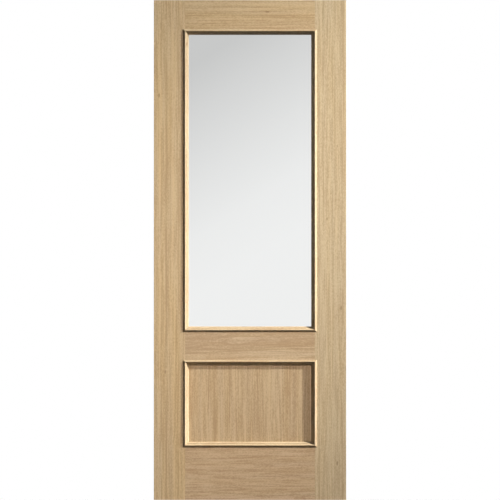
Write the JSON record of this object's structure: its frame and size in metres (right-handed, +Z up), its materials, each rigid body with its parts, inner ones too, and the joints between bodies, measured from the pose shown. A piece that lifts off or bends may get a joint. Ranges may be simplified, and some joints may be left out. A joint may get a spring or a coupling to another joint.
{
  "type": "glazed interior door",
  "caption": "Oak interior door leaf with a tall clear pane over a flat panel, both framed by raised mitred mouldings.",
  "frame": {"origin": "on the hinge edge of the leaf, at its bottom and in the middle of its thickness", "axes": "+X from the hinge edge to the lock edge, +Y from the front face to the back face, +Z up"},
  "size_m": [0.762, 0.047, 1.981],
  "materials": {
    "oak_frame": "oak veneer, straight grained, lightly sealed, satin",
    "oak_lipping": "solid oak, lightly sealed, satin",
    "oak_panel": "oak veneer with upright grain, lightly sealed, satin",
    "oak_moulding": "machined solid oak, lightly sealed, satin",
    "clear_glass": "clear flat toughened glass",
    "glazing_tape": "soft glazing tape, matt",
    "setting_block": "moulded plastic, matt"
  },
  "bodies": {
    "root": {"left_stile": "oak_frame", "right_stile": "oak_frame", "top_rail": "oak_frame", "middle_rail": "oak_frame", "bottom_rail": "oak_frame", "left_lipping": "oak_lipping", "right_lipping": "oak_lipping", "lower_panel": "oak_panel", "glass_pane": "clear_glass", "glazing_tape_front": "glazing_tape", "glazing_tape_back": "glazing_tape", "setting_block_left": "setting_block", "setting_block_right": "setting_block", "glass_moulding_front_left": "oak_moulding", "glass_moulding_front_right": "oak_moulding", "glass_moulding_front_bottom": "oak_moulding", "glass_moulding_front_top": "oak_moulding", "glass_moulding_back_left": "oak_moulding", "glass_moulding_back_right": "oak_moulding", "glass_moulding_back_bottom": "oak_moulding", "glass_moulding_back_top": "oak_moulding", "panel_moulding_front_left": "oak_moulding", "panel_moulding_front_right": "oak_moulding", "panel_moulding_front_bottom": "oak_moulding", "panel_moulding_front_top": "oak_moulding", "panel_moulding_back_left": "oak_moulding", "panel_moulding_back_right": "oak_moulding", "panel_moulding_back_bottom": "oak_moulding", "panel_moulding_back_top": "oak_moulding"}
  },
  "joints": []
}
